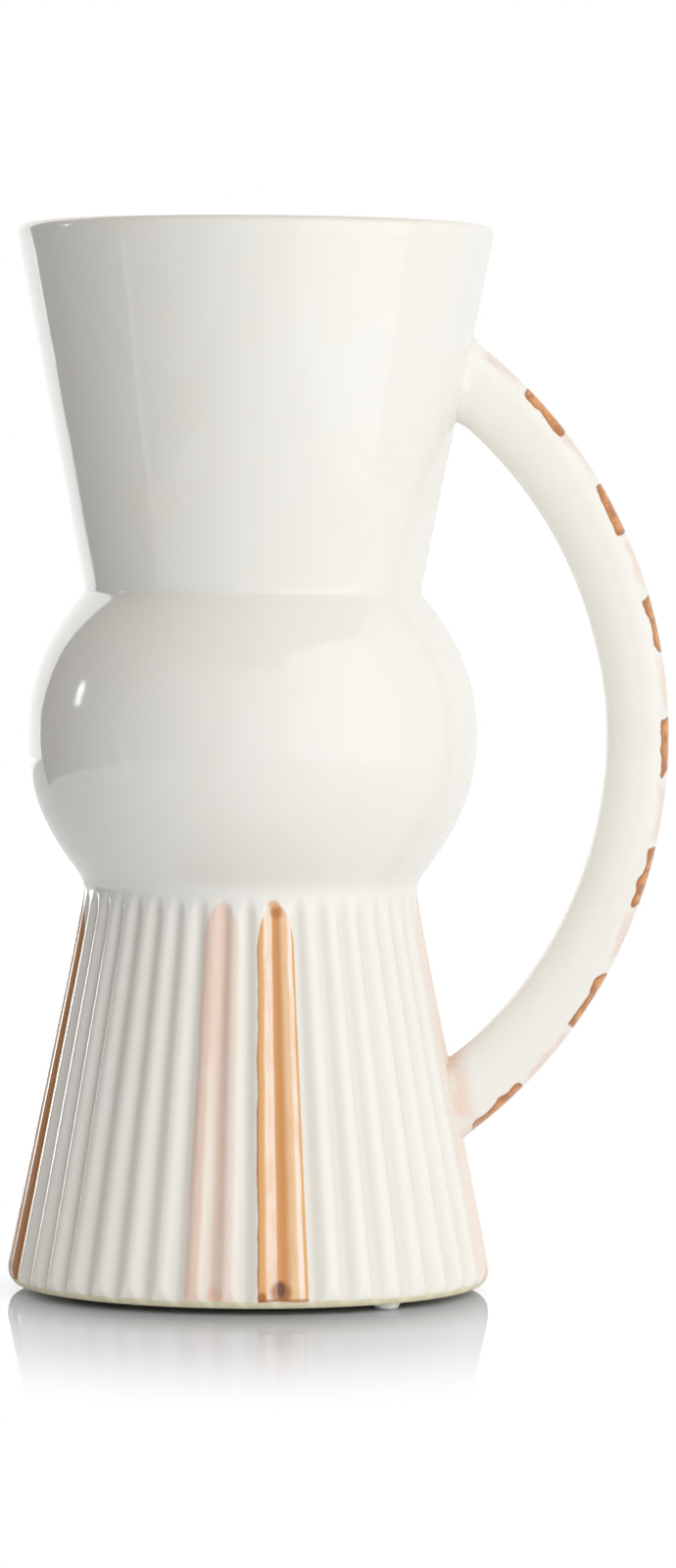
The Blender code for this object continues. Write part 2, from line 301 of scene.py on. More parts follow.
def add_node(tree, kind, inputs=(), **settings):
    """Adds a shader node; a kind in capitals is an operation of the Math node. Settings are its
    properties, or a ramp's stops as places with colours' names. Inputs give its sockets in use a
    value or a link, in order or by name: a MapRange gets a value, the two ends of its range and
    what these become. Returns its first output in use."""
    node = tree.nodes.new("ShaderNodeMath" if kind.isupper() else "ShaderNode" + kind)
    if kind.isupper():
        node.operation = kind
    for number, (place, name) in enumerate(settings.pop("stops", ())):
        stops = node.color_ramp.elements
        stop = stops.new(place) if number > 1 else stops[number]
        stop.position, stop.color = place, colour(name)
    for name, value in settings.items():
        setattr(node, name, value)
    sockets = [s for s in node.inputs if s.enabled]
    if isinstance(inputs, dict):
        sockets = [next(s for s in sockets if s.name == name) for name in inputs]
        inputs = inputs.values()
    for socket, value in zip(sockets, inputs):
        if isinstance(value, bpy.types.NodeSocket):
            tree.links.new(value, socket)
        else:
            socket.default_value = value
    return next((s for s in node.outputs if s.enabled), node)


def new_material(name):
    """An empty node material, with coordinates in metres from the vase's axis and foot ring."""
    material = bpy.data.materials.new(name)
    material.use_nodes = True
    tree = material.node_tree
    tree.nodes.clear()
    place = add_node(tree, "TexCoord").node.outputs["Object"]
    centred = add_node(tree, "Mapping", {"Vector": place, "Location": (-AXIS_X, 0.0, -FOOT_Z)})
    return material, tree, centred


def distance_of(tree, a, b):
    """Distance of a point from where its two places, a and b, are both nought."""
    place = add_node(tree, "CombineXYZ", (a, b))
    return add_node(tree, "VectorMath", (place,), operation="LENGTH").node.outputs["Value"]


def azimuth_of(tree, place):
    """Azimuth of a place round the axis, in radians from the front towards the handle."""
    parts = add_node(tree, "SeparateXYZ", {"Vector": place}).node.outputs
    forward = add_node(tree, "MULTIPLY", (parts["Y"], -1.0))
    return add_node(tree, "ARCTAN2", (parts["X"], forward))


def brush_shake(tree, centred, scale, detail):
    """How far the brush strayed from its line, up to a twentieth either way."""
    noise = add_node(tree, "TexNoise", {"Vector": centred, "Scale": scale, "Detail": detail})
    return add_node(tree, "MapRange", (noise, 0.3, 0.7, -0.05, 0.05))


def glaze_colour(tree, centred):
    """Ivory with soft clouds 30 mm wide and yellowish freckles 3 mm wide, as fired glaze has."""
    clouds = add_node(
        tree, "TexNoise", {"Vector": centred, "Scale": 24.0, "Detail": 3.0, "Roughness": 0.55})
    cloud_mask = add_node(tree, "MapRange", (clouds, 0.46, 0.72, 0.0, 0.6), **SMOOTH)
    freckles = add_node(
        tree, "TexNoise", {"Vector": centred, "Scale": 300.0, "Detail": 2.0, "Roughness": 0.6})
    freckle_mask = add_node(tree, "MapRange", (freckles, 0.52, 0.74, 0.25, 1.0), **SMOOTH)
    mottle = add_node(tree, "MULTIPLY", (cloud_mask, freckle_mask))
    return add_node(tree, "Mix", (mottle, colour("glaze"), colour("warm_mottle")), data_type="RGBA")


def glaze_relief(tree, centred):
    """Slow waves of the hand-turned wall, 25 mm long, and the faint dimpling of poured glaze."""
    waves = add_node(tree, "TexNoise", {"Vector": centred, "Scale": 38.0, "Detail": 1.0})
    wavy = add_node(tree, "Bump", {"Height": waves, "Strength": 0.5, "Distance": 0.0006})
    dimples = add_node(tree, "TexNoise", {"Vector": centred, "Scale": 240.0, "Detail": 1.0})
    return add_node(
        tree, "Bump", {"Height": dimples, "Normal": wavy, "Strength": 0.3, "Distance": 0.00003})


def close_material(tree, inputs):
    """Adds the surface shader with its sockets and joins it to the output."""
    surface = add_node(tree, "BsdfPrincipled", inputs)
    add_node(tree, "OutputMaterial", {"Surface": surface})


def ivory_glaze():
    """Ivory tin glaze, poured and fired glossy over earthenware: an even milky skin with sharp
    reflections, a little thinner and warmer on the lip."""
    material, tree, centred = new_material("ivory_gloss_glaze_on_earthenware")
    base = glaze_colour(tree, centred)
    height = add_node(tree, "SeparateXYZ", {"Vector": centred}).node.outputs["Z"]
    runs = add_node(tree, "TexNoise", {"Vector": centred, "Scale": 70.0, "Detail": 2.0})
    ragged = add_node(tree, "MULTIPLY_ADD", (runs, 0.0016, height))
    thin = add_node(
        tree, "MapRange", (ragged, LIP_HEIGHT, LIP_HEIGHT + 0.0012, 0.0, 0.55), **SMOOTH)
    lipped = add_node(tree, "Mix", (thin, base, colour("peach")), data_type="RGBA")
    close_material(tree, {
        "Base Color": lipped, "Roughness": GLAZE_ROUGHNESS, "IOR": GLAZE_IOR,
        "Normal": glaze_relief(tree, centred)})
    return material


def stripe_outline(tree, in_quarter, height, shake, flute, half_width, top):
    """How far a point lies from a stripe's middle, and how far inside its outline, in flutes.
    The stripe's top is a half ellipse 12 mm high."""
    off = add_node(tree, "SUBTRACT", (in_quarter, flute))
    off = add_node(tree, "MULTIPLY_ADD", (shake, 0.3, off))
    distance = add_node(tree, "ABSOLUTE", (off,))
    left = add_node(tree, "MapRange", (height, top - 0.012, top))
    left_square = add_node(tree, "POWER", (left, 2.0))
    chord = add_node(tree, "SUBTRACT", (1.0, left_square))
    arch = add_node(tree, "SQRT", (chord,))
    half = add_node(tree, "MULTIPLY", (arch, half_width))
    inside = add_node(tree, "SUBTRACT", (half, distance))
    return off, add_node(tree, "MULTIPLY_ADD", (shake, 0.45, inside))


def brown_coat(tree, off, height, streak_mask, away):
    """Colour of the brown paint: thick in the flute and worn thin on the ridges beside it, streaky,
    darkened with painted shade on the sides away from the front, and dark just above the wiped foot."""
    place = add_node(tree, "MapRange", (off, -0.78, 0.78))
    brown = add_node(tree, "ValToRGB", {"Fac": place}, stops=(
        (0.03, "deep_brown"), (0.07, "orange"), (0.16, "orange"), (0.22, "peach"),
        (0.385, "peach"), (0.43, "brown_paint"), (0.57, "brown_paint"), (0.66, "tan"),
        (0.77, "tan"), (0.81, "peach"), (0.89, "peach"), (0.92, "orange"), (0.98, "orange")))
    streaky = add_node(tree, "MULTIPLY", (streak_mask, 0.30))
    in_flute = add_node(tree, "MapRange", (place, 0.36, 0.44), **SMOOTH)
    # Painted shade: on the stripes away from the front the brown turns deep brown over the flute and
    # the stripe's part right of it
    painted_side_shade = add_node(tree, "MapRange", (*away, 0.0, 0.75))
    painted_side_shade = add_node(tree, "MULTIPLY", (painted_side_shade, in_flute))
    line = clay().glaze_line
    dark_edge = add_node(
        tree, "MapRange", (height, line + 0.0011, line + 0.0004, 0.0, 0.8), **SMOOTH)
    for mask, paint in (
            (streaky, "brown_paint"), (painted_side_shade, "deep_brown"), (dark_edge, "deep_brown")):
        brown = add_node(tree, "Mix", (mask, brown, colour(paint)), data_type="RGBA")
    return brown


def pink_coat(tree, off, inside, height, streak_mask, away):
    """Colour of the pink paint and how thickly it lies: strongest along its left side, streaky, left
    off as a painted highlight low down on the flank that faces the light, and thinner on the sides away
    from the front."""
    place = add_node(tree, "MapRange", (off, -0.75, 0.75))
    pink = add_node(tree, "ValToRGB", {"Fac": place}, stops=(
        (0.05, "pink_paint"), (0.50, "pink_paint"), (0.60, "dusty_pink"), (0.70, "dusty_pink"),
        (0.78, "faint_pink"), (0.95, "faint_pink")))
    mask = add_node(tree, "MapRange", (inside, -0.03, 0.16, 0.0, 0.9), **SMOOTH)
    streaky = add_node(tree, "MapRange", (streak_mask, 0.0, 1.0, 1.0, 0.75))
    # Painted highlight: low on the skirt the pink is left off a strip 0.15 flute left of the stripe's
    # middle, on the flank that faces the light
    off_highlight = add_node(tree, "ADD", (off, 0.15))
    off_highlight = add_node(tree, "ABSOLUTE", (off_highlight,))
    painted_highlight = add_node(tree, "MapRange", (off_highlight, 0.22, 0.05), **SMOOTH)
    low_down = add_node(tree, "MapRange", (height, 0.085, 0.030, 0.0, 0.8), **SMOOTH)
    painted_highlight = add_node(tree, "MULTIPLY", (painted_highlight, low_down))
    kept = add_node(tree, "SUBTRACT", (1.0, painted_highlight))
    coat = add_node(tree, "MapRange", (*away, 1.0, 0.5))
    for share in (streaky, kept, coat):
        mask = add_node(tree, "MULTIPLY", (mask, share))
    return pink, mask


def brush_drops(tree, base, in_quarter, height):
    """Drops that the brush left: at the brown stripe's foot a dark pool with a purple-brown drop in
    it and a small one beside, at its tip a dark one with a smear above, one at the pink one's foot.
    Each has its place in flutes, height, half width in flutes, half height, colour and weight."""
    for flute, at, wide, tall, code, weight in (
            (1.02, 0.0046, 0.34, 0.0034, "A8693A", 0.7), (1.04, 0.0054, 0.13, 0.0026, "6E4E48", 0.85),
            (0.47, 0.0034, 0.15, 0.0016, "A8642F", 0.8), (1.13, 0.1084, 0.30, 0.0022, "C07C44", 0.65),
            (1.03, 0.1104, 0.28, 0.0013, "ECB482", 0.8), (-0.87, 0.0034, 0.30, 0.0030, "EBB391", 0.45)):
        sideways = add_node(tree, "SUBTRACT", (in_quarter, flute))
        sideways = add_node(tree, "DIVIDE", (sideways, wide))
        upwards = add_node(tree, "SUBTRACT", (height, at))
        upwards = add_node(tree, "DIVIDE", (upwards, tall))
        off = distance_of(tree, sideways, upwards)
        drop = add_node(tree, "MapRange", (off, 1.15, 0.55, 0.0, weight), **SMOOTH)
        base = add_node(tree, "Mix", (drop, base, opaque(code)), data_type="RGBA")
    return base


def painted_skirt_glaze():
    """Underglaze stripes brushed along the flutes under the ivory glaze, which runs off the
    ridges and pools in the grooves; the wiped foot shows bare clay."""
    material, tree, centred = new_material("ivory_glaze_over_brushed_stripes")
    parts = add_node(tree, "SeparateXYZ", {"Vector": centred}).node.outputs
    height = parts["Z"]
    turn = add_node(tree, "MULTIPLY", (azimuth_of(tree, centred), FLUTES / math.tau))

    # The glaze pools in the grooves as far up as they run
    nearest = add_node(tree, "ROUND", (turn,))
    off_groove = add_node(tree, "SUBTRACT", (turn, nearest))
    across = add_node(tree, "ABSOLUTE", (off_groove,))
    flute_head = SKIRT_HEIGHT - FLUTE_START
    fluted_run = add_node(
        tree, "MapRange", (height, flute_head - FLUTE_RUN_IN, flute_head, 1.0, 0.0), **SMOOTH)
    in_groove = add_node(tree, "MapRange", (across, 0.40, 0.05, 0.0, 0.6), **SMOOTH)
    pooled = add_node(tree, "MULTIPLY", (in_groove, fluted_run))
    base = add_node(
        tree, "Mix", (pooled, glaze_colour(tree, centred), colour("pooled_glaze")),
        data_type="RGBA")

    # Brush marks: streaks a sixth of a flute wide and about 40 mm long
    stretched = add_node(tree, "MULTIPLY", (height, 22.0))
    lengthwise = add_node(tree, "CombineXYZ", (turn, 0.0, stretched))
    streaks = add_node(
        tree, "TexNoise", {"Vector": lengthwise, "Scale": 3.4, "Detail": 4.0, "Roughness": 0.6})
    streak_mask = add_node(tree, "MapRange", (streaks, 0.42, 0.66), **SMOOTH)
    shake = brush_shake(tree, centred, 85.0, 3.0)

    # A pair of stripes every quarter turn: the brown one in flute 1, the pink one in flute -1.
    # The three pairs away from the front have a thinner pink coat, and their brown is darkened with
    # painted shade.
    half_quarter = FLUTES / 8.0
    in_quarter = add_node(tree, "WRAP", (turn, half_quarter, -half_quarter))
    round_side = add_node(tree, "ABSOLUTE", (turn,))
    away = (round_side, half_quarter - 0.1, half_quarter + 0.1)
    brown_off, brown_inside = stripe_outline(
        tree, in_quarter, height, shake, flute=1.09, half_width=0.75, top=0.1104)
    brown = brown_coat(tree, brown_off, height, streak_mask, away)
    brown_mask = add_node(tree, "MapRange", (brown_inside, -0.015, 0.03), **SMOOTH)
    pink_off, pink_inside = stripe_outline(
        tree, in_quarter, height, shake, flute=-1.05, half_width=0.79, top=0.1112)
    pink, pink_mask = pink_coat(tree, pink_off, pink_inside, height, streak_mask, away)
    for mask, paint in ((pink_mask, pink), (brown_mask, brown)):
        base = add_node(tree, "Mix", (mask, base, paint), data_type="RGBA")
    base = brush_drops(tree, base, in_quarter, height)

    # Bare clay below the wiped glaze line and over the underside of the foot ring
    radius = distance_of(tree, parts["X"], parts["Y"])
    ring_end = FOOT_INNER_RADIUS + 0.006
    under = add_node(tree, "MapRange", (radius, ring_end, ring_end - 0.002, 0.0, SLAB_RECESS))
    wiped = add_node(tree, "ADD", (under, clay().glaze_line))
    wiped = add_node(tree, "MULTIPLY_ADD", (shake, 0.006, wiped))
    above = add_node(tree, "SUBTRACT", (height, wiped))
    bare = add_node(tree, "MapRange", (above, 0.00015, -0.00015), **SMOOTH)
    grit = add_node(tree, "TexNoise", {"Vector": centred, "Scale": 900.0, "Detail": 2.0})
    grit_tone = add_node(
        tree, "Mix", (grit, colour("bare_clay"), opaque("D8D3B8")), data_type="RGBA")
    base = add_node(tree, "Mix", (bare, base, grit_tone), data_type="RGBA")
    roughness = add_node(tree, "MapRange", (bare, 0.0, 1.0, GLAZE_ROUGHNESS, 0.8))
    gritty = add_node(tree, "MULTIPLY", (grit, bare))
    relief = add_node(
        tree, "Bump",
        {"Height": gritty, "Normal": glaze_relief(tree, centred), "Strength": 0.5,
         "Distance": 0.0001})
    close_material(tree, {
        "Base Color": base, "Roughness": roughness, "IOR": GLAZE_IOR, "Normal": relief})
    return material


def handle_arcs():
    """Outer and inner arc of the handle, each as its centre's x and z, and its radius."""
    def arc_through(upper, lower, reach):
        def offset(height):
            sides = [x / 2.0 - (height - z) ** 2 / (2.0 * (reach - x)) for x, z in (upper, lower)]
            return sides[0] - sides[1]

        low, high = lower[1], upper[1]
        for _ in range(60):
            middle = (low + high) / 2.0
            low, high = (low, middle) if offset(middle) > 0.0 else (middle, high)
        x, z = upper
        centre_x = (x + reach) / 2.0 - (low - z) ** 2 / (2.0 * (reach - x))
        return centre_x, low, reach - centre_x

    neck_top = LIP_HEIGHT - HANDLE_NECK_TOP
    neck_bottom = neck_top - HANDLE_NECK_SEAT
    skirt_bottom = HANDLE_SKIRT_BOTTOM
    skirt_top = skirt_bottom + HANDLE_SKIRT_SEAT
    outer = arc_through(
        (neck_line(neck_top), neck_top), (skirt_line(skirt_bottom), skirt_bottom), HANDLE_REACH)
    inner = arc_through(
        (neck_line(neck_bottom), neck_bottom), (skirt_line(skirt_top), skirt_top),
        HANDLE_REACH - HANDLE_THICKNESS)
    return outer, inner


def painted_handle_glaze():
    """Brown and pink dabs brushed by turns along the handle's back under the ivory glaze, each
    with a darker rim where the paint dried last."""
    material, tree, centred = new_material("ivory_glaze_over_brushed_dabs")
    (centre_x, centre_z, outer_r), _ = handle_arcs()
    from_centre = add_node(
        tree, "Mapping", {"Vector": centred, "Location": (-centre_x, 0.0, -centre_z)})
    parts = add_node(tree, "SeparateXYZ", {"Vector": from_centre}).node.outputs
    angle = add_node(tree, "ARCTAN2", (parts["Z"], parts["X"]))
    ring = distance_of(tree, parts["X"], parts["Z"])
    depth = add_node(tree, "SUBTRACT", (outer_r, ring))
    base = glaze_colour(tree, centred)

    # Places count the brown dabs from one to the next, with the pink ones halfway. They stand a
    # little closer together towards the top: place = first + pace angle + closing angle^2
    first, pace, closing = 2.9326, -3.868, -0.26365
    slope = add_node(tree, "MULTIPLY_ADD", (angle, closing, pace))
    place = add_node(tree, "MULTIPLY_ADD", (angle, slope, first))
    shake = brush_shake(tree, centred, 110.0, 2.0)
    brushed = add_node(tree, "CombineXYZ", (place, parts["Y"], depth))
    streaks = add_node(tree, "TexNoise", {"Vector": brushed, "Scale": 7.0, "Detail": 3.0})
    patchy = add_node(tree, "TexNoise", {"Vector": centred, "Scale": 330.0, "Detail": 2.0})
    half_length, deepest, places_per_metre, corner = 0.222, 0.0027, 55.0, 0.12

    def dab_inside(shift):
        """How far inside the nearest dab's outline a point lies, along the arc and round it. A dab
        wraps round the back to a depth, and its corners are soft."""
        moved = add_node(tree, "SUBTRACT", (place, shift))
        nearest = add_node(tree, "ROUND", (moved,))
        off = add_node(tree, "SUBTRACT", (moved, nearest))
        distance = add_node(tree, "ABSOLUTE", (off,))
        along = add_node(tree, "SUBTRACT", (half_length, distance))
        round_side = add_node(tree, "SUBTRACT", (deepest, depth))
        round_side = add_node(tree, "MULTIPLY", (round_side, places_per_metre))
        inside = add_node(tree, "SMOOTH_MIN", (along, round_side, corner))
        return add_node(tree, "ADD", (inside, shake))

    pink_inside = dab_inside(0.5)
    pink_mask = add_node(tree, "MapRange", (pink_inside, -0.01, 0.07, 0.0, 0.5), **SMOOTH)
    base = add_node(tree, "Mix", (pink_mask, base, colour("pink_paint")), data_type="RGBA")
    brown_inside = dab_inside(0.0)
    rim = add_node(tree, "MapRange", (brown_inside, 0.015, 0.06, 0.95, 0.0), **SMOOTH)
    uneven = add_node(tree, "ADD", (streaks, patchy))
    patches = add_node(tree, "MapRange", (uneven, 0.92, 1.12, 0.0, 0.85), **SMOOTH)
    brown_depth = add_node(tree, "MAXIMUM", (rim, patches))
    brown = add_node(
        tree, "Mix", (brown_depth, opaque("DD9A55"), colour("deep_brown")), data_type="RGBA")
    brown_mask = add_node(tree, "MapRange", (brown_inside, -0.005, 0.012), **SMOOTH)
    # No brown on the upper joint: it sets in over the 5 mm below 38 mm from the lip
    seat_end = LIP_HEIGHT - 0.038 - centre_z
    off_seat = add_node(tree, "MapRange", (parts["Z"], seat_end, seat_end - 0.005))
    brown_mask = add_node(tree, "MULTIPLY", (brown_mask, off_seat))
    base = add_node(tree, "Mix", (brown_mask, base, brown), data_type="RGBA")

    # Pink wash smeared over the lower joint, about 7 mm up the handle from the skirt's cone
    from_axis = add_node(tree, "SeparateXYZ", {"Vector": centred}).node.outputs
    radius = distance_of(tree, from_axis["X"], from_axis["Y"])
    joint = add_node(tree, "MULTIPLY_ADD", (from_axis["Z"], SKIRT_TAPER, radius))
    washed = add_node(
        tree, "MapRange", (joint, FOOT_RADIUS + 0.0075, FOOT_RADIUS + 0.0005), **SMOOTH)
    cloudy = add_node(tree, "TexNoise", {"Vector": centred, "Scale": 120.0, "Detail": 2.0})
    wash_patches = add_node(tree, "MapRange", (cloudy, 0.36, 0.60, 0.2, 0.85), **SMOOTH)
    wash = add_node(tree, "MULTIPLY", (washed, wash_patches))
    base = add_node(tree, "Mix", (wash, base, colour("pink_paint")), data_type="RGBA")
    close_material(tree, {
        "Base Color": base, "Roughness": GLAZE_ROUGHNESS, "IOR": GLAZE_IOR,
        "Normal": glaze_relief(tree, centred)})
    return material


def slab_clay():
    """Biscuit-fired earthenware slab: matt, with fine trimming rings and grit below, and the
    inside's poured glaze on its top."""
    material, tree, centred = new_material("trimmed_earthenware_slab")
    parts = add_node(tree, "SeparateXYZ", {"Vector": centred}).node.outputs
    radius = distance_of(tree, parts["X"], parts["Y"])
    grit = add_node(tree, "TexNoise", {"Vector": centred, "Scale": 700.0, "Detail": 3.0})
    bare = add_node(tree, "Mix", (grit, colour("bare_clay"), opaque("C2BC9E")), data_type="RGBA")
    glazed = add_node(tree, "MapRange", (parts["Z"], SLAB_RECESS + 0.0035, SLAB_RECESS + 0.0040))
    base = add_node(tree, "Mix", (glazed, bare, glaze_colour(tree, centred)), data_type="RGBA")
    roughness = add_node(tree, "MapRange", (glazed, 0.0, 1.0, 0.85, 0.08))
    ring_spacing = 0.0013
    rings = add_node(tree, "MULTIPLY", (radius, math.tau / ring_spacing))
    rings = add_node(tree, "SINE", (rings,))
    tool_marks = add_node(tree, "MULTIPLY_ADD", (rings, 0.35, grit))
    below = add_node(tree, "MapRange", (glazed, 0.0, 1.0, 1.0, 0.0))
    marks = add_node(tree, "MULTIPLY", (tool_marks, below))
    relief = add_node(tree, "Bump", {"Height": marks, "Strength": 0.6, "Distance": 0.00015})
    close_material(tree, {"Base Color": base, "Roughness": roughness, "Normal": relief})
    return material


def milky_silicone():
    """Moulded silicone of a stick-on pad: milky, slightly see-through, with a satin skin."""
    material, tree, centred = new_material("milky_moulded_silicone")
    haze = add_node(tree, "TexNoise", {"Vector": centred, "Scale": 600.0, "Detail": 1.0})
    base = add_node(tree, "Mix", (haze, colour("silicone"), opaque("F2F3F2")), data_type="RGBA")
    close_material(tree, {
        "Base Color": base, "Roughness": 0.32, "IOR": 1.41, "Subsurface Weight": 0.4,
        "Subsurface Radius": (0.002, 0.002, 0.002), "Subsurface Scale": 1.0,
        "Transmission Weight": 0.05})
    return material


# Pieces


class VASE_OT_throw_neck(bpy.types.Operator):
    """Throw the flared neck with its round lip"""
    bl_idname = "vase.throw_neck"
    bl_label = "Throw the neck"

    def execute(self, context):
        lip_inner = LIP_RADIUS - NECK_WALL * math.hypot(1.0, NECK_FLARE)
        outer_round = min(LIP_ROUNDING, 0.75 * NECK_WALL)
        inner_round = LIP_RADIUS - outer_round - lip_inner
        throat_end = THROAT_HEIGHT + 0.008
        outline = [
            (outer_radius(z), z) for z in spread(THROAT_HEIGHT, throat_end, 12, CROWDING)]
        outline += [
            (neck_line(z), z) for z in spread(throat_end, LIP_HEIGHT - outer_round, 12)[1:-1]]
        for turn in spread(0.0, math.pi / 2.0, 12):
            height = LIP_HEIGHT - outer_round * (1.0 - math.sin(turn))
            outline.append((neck_line(height) - outer_round * (1.0 - math.cos(turn)), height))
        for turn in spread(0.0, math.pi / 2.0, 8)[1:]:
            height = LIP_HEIGHT - inner_round * (1.0 - math.cos(turn))
            lean = NECK_FLARE * (LIP_HEIGHT - height)
            outline.append((lip_inner - lean + inner_round * (1.0 - math.sin(turn)), height))
        outline += [(inner_radius(z), z) for z in spread(LIP_HEIGHT - 0.010, THROAT_HEIGHT, 10)]
        obj = throw("glazed_neck", outline, TURNED_STEPS)
        finish_piece(obj, ivory_glaze(), "flared_neck")
        return {"FINISHED"}


class VASE_OT_throw_bulb(bpy.types.Operator):
    """Throw the ball between skirt and neck"""
    bl_idname = "vase.throw_bulb"
    bl_label = "Throw the bulb"

    def execute(self, context):
        low, high = SKIRT_HEIGHT, THROAT_HEIGHT
        start = math.asin((low - BULB_CENTRE) / BULB_HALF_HEIGHT)
        end = math.asin((high - BULB_CENTRE) / BULB_HALF_HEIGHT)
        near_waist = spread(low, low + 0.010, 16, CROWDING)
        near_throat = spread(high, high - 0.005, 10, CROWDING)[::-1]
        between = [BULB_CENTRE + BULB_HALF_HEIGHT * math.sin(a) for a in spread(start, end, 60)]
        least = 0.0004
        between = [z for z in between if near_waist[-1] + least < z < near_throat[0] - least]
        outline = [(outer_radius(z), z) for z in near_waist + between + near_throat]
        outline += [(inner_radius(z), z) for z in spread(high, low, 28)]
        obj = throw("glazed_bulb", outline, TURNED_STEPS)
        finish_piece(obj, bpy.data.materials["ivory_gloss_glaze_on_earthenware"], "bulb")
        return {"FINISHED"}


def fluted_radius(z, turn):
    """Radius of the gouged skirt at a height and at a turn counted in flutes."""
    settings = clay()
    # The hand strays in slow waves round the skirt, sideways and in how deep it cuts
    once_round = math.tau * turn / FLUTES
    sway = (math.sin(7.0 * once_round + 0.6) + math.sin(13.0 * once_round)) / 2.0
    turn += settings.gouge_wander * sway
    hand = 1.0 + 0.07 * math.sin(5.0 * math.tau * turn / FLUTES + 2.0)
    across = turn - round(turn)
    cut = ((1.0 + math.cos(math.tau * across)) / 2.0) ** settings.ridge_breadth
    depth = FLUTE_DEPTH * (skirt_line(z) / FOOT_RADIUS) ** 1.8 * hand
    # Towards its head a flute gets narrower and fades
    left = 1.0 - min(max((SKIRT_HEIGHT - FLUTE_START - z) / FLUTE_RUN_IN, 0.0), 1.0)
    run = max(0.0, cut - 0.4 * left ** 2) * (1.0 - left ** 2)
    # The deeper of gouge and foot rounding, with a soft scallop where the two meet
    gouge, rounding, sharpness = depth * run, foot_rounding(z), 6.0
    return outer_radius(z) - (gouge ** sharpness + rounding ** sharpness) ** (1.0 / sharpness)


class VASE_OT_throw_skirt(bpy.types.Operator):
    """Throw the skirt, then gouge its flutes"""
    bl_idname = "vase.throw_skirt"
    bl_label = "Throw and flute the skirt"

    def execute(self, context):
        start = SKIRT_HEIGHT - FLUTE_START
        heights = [FOOT_RUN_OUT * (1.0 - math.cos(math.radians(a))) for a in spread(0.0, 90.0, 24)]
        heights += spread(FOOT_RUN_OUT, start - FLUTE_RUN_IN, 14)[1:]
        heights += spread(start - FLUTE_RUN_IN, start, 22)[1:]
        heights += spread(SKIRT_HEIGHT, start, 9, 1.6)[::-1][1:]
        outline = [(outer_radius(z) - foot_rounding(z), z) for z in heights]
        outline += [(inner_radius(z), z) for z in spread(SKIRT_HEIGHT, SLAB_RECESS, 12)]
        seat, ring = 0.0008, 0.0006  # Chamfers under the slab and inside the foot ring
        outline += [
            (FOOT_INNER_RADIUS + seat, SLAB_RECESS), (FOOT_INNER_RADIUS, SLAB_RECESS - seat),
            (FOOT_INNER_RADIUS, ring), (FOOT_INNER_RADIUS + ring, 0.0)]
        obj = throw("fluted_painted_skirt", outline, STEPS_PER_FLUTE * FLUTES)
        bpy.ops.object.mode_set(mode="OBJECT")
        bpy.ops.object.transform_apply(location=True, rotation=True, scale=True)
        for vert in obj.data.vertices:
            x, y, z = vert.co.x - AXIS_X, vert.co.y, vert.co.z - FOOT_Z
            radius = math.hypot(x, y)
            if radius < (inner_radius(z) + outer_radius(z)) / 2.0 or z < 1e-6:
                continue
            turn = math.atan2(x, -y) / math.tau * FLUTES
            scale = fluted_radius(z, turn) / radius
            vert.co.x = AXIS_X + x * scale
            vert.co.y = y * scale
        finish_piece(obj, painted_skirt_glaze(), "fluted_skirt", angle=60.0)
        return {"FINISHED"}


class VASE_OT_lay_slab(bpy.types.Operator):
    """Lay the slab that closes the skirt inside its foot ring"""
    bl_idname = "vase.lay_slab"
    bl_label = "Lay the base slab"

    def execute(self, context):
        low, high = SLAB_BOX[0].z, SLAB_BOX[1].z
        radius = SLAB_BOX[1].x - AXIS_X
        bpy.ops.object.select_all(action="DESELECT")
        bpy.ops.mesh.primitive_cylinder_add(
            vertices=132, radius=radius, depth=high - low, end_fill_type="NGON",
            location=(AXIS_X, 0.0, (low + high) / 2.0))
        obj = start_piece("trimmed_base_slab")
        # Both faces are trimmed in rings, each with its width and how far it dips
        for side in (1.0, -1.0):
            select_where(obj, "faces", lambda face: face.normal.z * side > 0.9)
            bpy.ops.mesh.inset(thickness=0.0015)
            for width, dip in ((0.004, 0.0003), (0.012, 0.0003), (0.020, 0.0001), (0.015, 0.0)):
                bpy.ops.mesh.inset(thickness=width)
                bpy.ops.transform.translate(value=(0.0, 0.0, -side * dip))
            bpy.ops.mesh.poke()

        def on_rim(edge):
            level = abs(edge.verts[0].co.z - edge.verts[1].co.z) < 1e-6
            return level and min(v.co.xy.length for v in edge.verts) > radius - 1e-4

        select_where(obj, "edges", on_rim)
        bpy.ops.mesh.bevel(offset=0.0004, segments=3, affect="EDGES")
        finish_piece(obj, slab_clay(), "base_slab")
        return {"FINISHED"}


